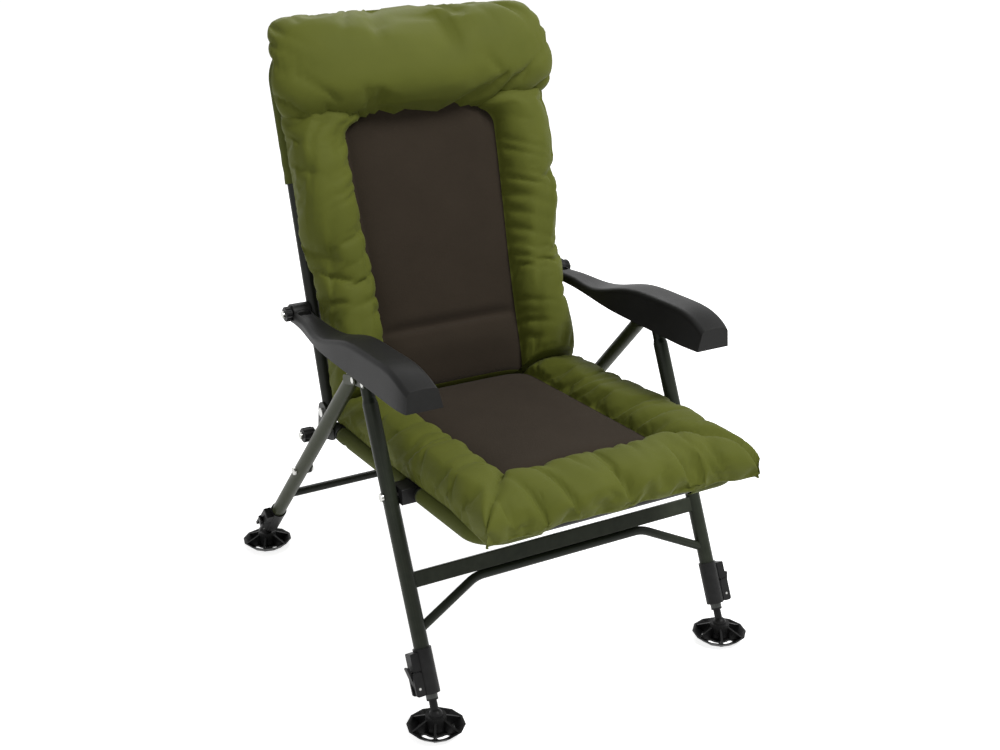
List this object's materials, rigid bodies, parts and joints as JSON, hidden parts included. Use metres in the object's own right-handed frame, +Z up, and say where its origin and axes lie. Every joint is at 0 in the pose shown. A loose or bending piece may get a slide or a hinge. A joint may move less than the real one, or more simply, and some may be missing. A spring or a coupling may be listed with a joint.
{
  "type": "folding camp chair",
  "caption": "Reclined folding camp chair with padded back, headrest and seat, moulded armrests and telescopic legs on swivelling mud feet.",
  "frame": {"origin": "floor level under the middle of the chair's footprint", "axes": "+X to the sitter's left, +Y to the back, +Z up"},
  "size_m": [0.65, 0.8766, 1.0425],
  "materials": {
    "green_canvas": "woven polyester, padded",
    "sling_canvas": "woven polyester",
    "frame_paint": "satin olive powder coat",
    "leg_paint": "satin dark green powder coat",
    "bracket_steel": "satin dark powder coat",
    "zinc": "bright zinc",
    "arm_plastic": "fine grain",
    "black_plastic": "fine grain",
    "inner_leg_metal": "drawn"
  },
  "bodies": {
    "seat": {"seat_frame": "frame_paint", "seat_sling": "sling_canvas", "seat_pad": "green_canvas", "rail_saddle_left": "black_plastic", "rail_saddle_right": "black_plastic", "hinge_bracket_left": "bracket_steel", "hinge_bracket_right": "bracket_steel", "hinge_pins": "zinc", "lock_bolts": "zinc", "seat_pivot_bolts": "zinc"},
    "back": {"back_frame": "frame_paint", "back_lower_tube": "frame_paint", "back_sling": "sling_canvas", "back_pad": "green_canvas", "headrest": "green_canvas", "arm_bolts": "zinc"},
    "front_legs": {"front_leg_left": "leg_paint", "front_leg_right": "leg_paint", "front_leg_ears": "leg_paint", "arm_pins": "zinc", "leg_bolts": "zinc", "front_crossbar_upper": "leg_paint", "front_crossbar_lower": "leg_paint", "front_clamp_left": "black_plastic", "front_clamp_right": "black_plastic", "front_cam_pins": "zinc"},
    "rear_legs": {"rear_leg_left": "leg_paint", "rear_leg_right": "leg_paint", "rear_leg_ears": "leg_paint", "rear_crossbar": "leg_paint", "rear_clamp_left": "black_plastic", "rear_clamp_right": "black_plastic", "rear_cam_pins": "zinc", "hook_plate_left": "bracket_steel", "hook_plate_right": "bracket_steel", "hook_bolts": "zinc"},
    "armrest_left": {"armrest_left": "arm_plastic", "arm_bracket_left": "bracket_steel"},
    "arm_knob_left": {"arm_knob_left": "black_plastic"},
    "lock_knob_left": {"lock_knob_left": "black_plastic"},
    "front_inner_left": {"front_inner_leg_left": "inner_leg_metal", "front_ball_plug_left": "black_plastic"},
    "front_foot_left": {"front_foot_left": "black_plastic"},
    "front_lever_left": {"front_cam_lever_left": "black_plastic"},
    "rear_inner_left": {"rear_inner_leg_left": "inner_leg_metal", "rear_ball_plug_left": "black_plastic"},
    "rear_foot_left": {"rear_foot_left": "black_plastic"},
    "rear_lever_left": {"rear_cam_lever_left": "black_plastic"},
    "armrest_right": {"armrest_right": "arm_plastic", "arm_bracket_right": "bracket_steel"},
    "arm_knob_right": {"arm_knob_right": "black_plastic"},
    "lock_knob_right": {"lock_knob_right": "black_plastic"},
    "front_inner_right": {"front_inner_leg_right": "inner_leg_metal", "front_ball_plug_right": "black_plastic"},
    "front_foot_right": {"front_foot_right": "black_plastic"},
    "front_lever_right": {"front_cam_lever_right": "black_plastic"},
    "rear_inner_right": {"rear_inner_leg_right": "inner_leg_metal", "rear_ball_plug_right": "black_plastic"},
    "rear_foot_right": {"rear_foot_right": "black_plastic"},
    "rear_lever_right": {"rear_cam_lever_right": "black_plastic"}
  },
  "joints": [
    {"name": "back_fold", "type": "hinge", "parent": "seat", "child": "back", "pos_m": [0, 0.15018, 0.362], "axis": [1, 0, 0], "range_deg": [0, 80], "deforming": ["back_pad", "headrest", "seat_pad"]},
    {"name": "front_leg_fold", "type": "hinge", "parent": "seat", "child": "front_legs", "pos_m": [0, -0.17993, 0.34667], "axis": [1, 0, 0], "range_deg": [0, 78.77]},
    {"name": "rear_leg_fold", "type": "hinge", "parent": "front_legs", "child": "rear_legs", "pos_m": [0, -0.08682, 0.512], "axis": [1, 0, 0], "range_deg": [-62.4, 0]},
    {"name": "armrest_fold_left", "type": "hinge", "parent": "back", "child": "armrest_left", "pos_m": [0.26, 0.20242, 0.53394], "axis": [1, 0, 0], "range_deg": [-82.7, 0]},
    {"name": "arm_knob_turn_left", "type": "hinge", "parent": "armrest_left", "child": "arm_knob_left", "pos_m": [0.275, 0.20242, 0.53394], "axis": [1, 0, 0], "continuous": true},
    {"name": "lock_knob_turn_left", "type": "hinge", "parent": "seat", "child": "lock_knob_left", "pos_m": [0.275, 0.16318, 0.32], "axis": [1, 0, 0], "continuous": true},
    {"name": "front_leg_slide_left", "type": "slide", "parent": "front_legs", "child": "front_inner_left", "axis": [0, -0.4155, -0.9096], "range_m": [0, 0.13]},
    {"name": "front_foot_tilt_left", "type": "hinge", "parent": "front_inner_left", "child": "front_foot_left", "pos_m": [0.278, -0.32549, 0.028], "axis": [1, 0, 0], "range_deg": [-20, 20]},
    {"name": "front_lever_turn_left", "type": "hinge", "parent": "front_legs", "child": "front_lever_left", "pos_m": [0.2985, -0.30555, 0.07166], "axis": [0, 0.9096, -0.4155], "range_deg": [0, 80]},
    {"name": "rear_leg_slide_left", "type": "slide", "parent": "rear_legs", "child": "rear_inner_left", "axis": [0, 0.6858, -0.7278], "range_m": [0, 0.13]},
    {"name": "rear_foot_tilt_left", "type": "hinge", "parent": "rear_inner_left", "child": "rear_foot_left", "pos_m": [0.278, 0.39127, 0.028], "axis": [1, 0, 0], "range_deg": [-15, 20]},
    {"name": "rear_lever_turn_left", "type": "hinge", "parent": "rear_legs", "child": "rear_lever_left", "pos_m": [0.2985, 0.35835, 0.06293], "axis": [0, 0.7278, 0.6858], "range_deg": [0, 80]},
    {"name": "armrest_fold_right", "type": "hinge", "parent": "back", "child": "armrest_right", "pos_m": [-0.26, 0.20242, 0.53394], "axis": [1, 0, 0], "range_deg": [-82.7, 0]},
    {"name": "arm_knob_turn_right", "type": "hinge", "parent": "armrest_right", "child": "arm_knob_right", "pos_m": [-0.275, 0.20242, 0.53394], "axis": [1, 0, 0], "continuous": true},
    {"name": "lock_knob_turn_right", "type": "hinge", "parent": "seat", "child": "lock_knob_right", "pos_m": [-0.275, 0.16318, 0.32], "axis": [1, 0, 0], "continuous": true},
    {"name": "front_leg_slide_right", "type": "slide", "parent": "front_legs", "child": "front_inner_right", "axis": [0, -0.4155, -0.9096], "range_m": [0, 0.13]},
    {"name": "front_foot_tilt_right", "type": "hinge", "parent": "front_inner_right", "child": "front_foot_right", "pos_m": [-0.278, -0.32549, 0.028], "axis": [1, 0, 0], "range_deg": [-20, 20]},
    {"name": "front_lever_turn_right", "type": "hinge", "parent": "front_legs", "child": "front_lever_right", "pos_m": [-0.2985, -0.30555, 0.07166], "axis": [0, -0.9096, 0.4155], "range_deg": [0, 80]},
    {"name": "rear_leg_slide_right", "type": "slide", "parent": "rear_legs", "child": "rear_inner_right", "axis": [0, 0.6858, -0.7278], "range_m": [0, 0.13]},
    {"name": "rear_foot_tilt_right", "type": "hinge", "parent": "rear_inner_right", "child": "rear_foot_right", "pos_m": [-0.278, 0.39127, 0.028], "axis": [1, 0, 0], "range_deg": [-15, 20]},
    {"name": "rear_lever_turn_right", "type": "hinge", "parent": "rear_legs", "child": "rear_lever_right", "pos_m": [-0.2985, 0.35835, 0.06293], "axis": [0, -0.7278, -0.6858], "range_deg": [0, 80]}
  ],
  "couplings": [
    {"joint": "front_leg_fold", "follows": "back_fold", "ratio": 0.9846},
    {"joint": "rear_leg_fold", "follows": "back_fold", "ratio": -0.78},
    {"joint": "armrest_fold_left", "follows": "back_fold", "ratio": -1.0338},
    {"joint": "armrest_fold_right", "follows": "back_fold", "ratio": -1.0338}
  ]
}
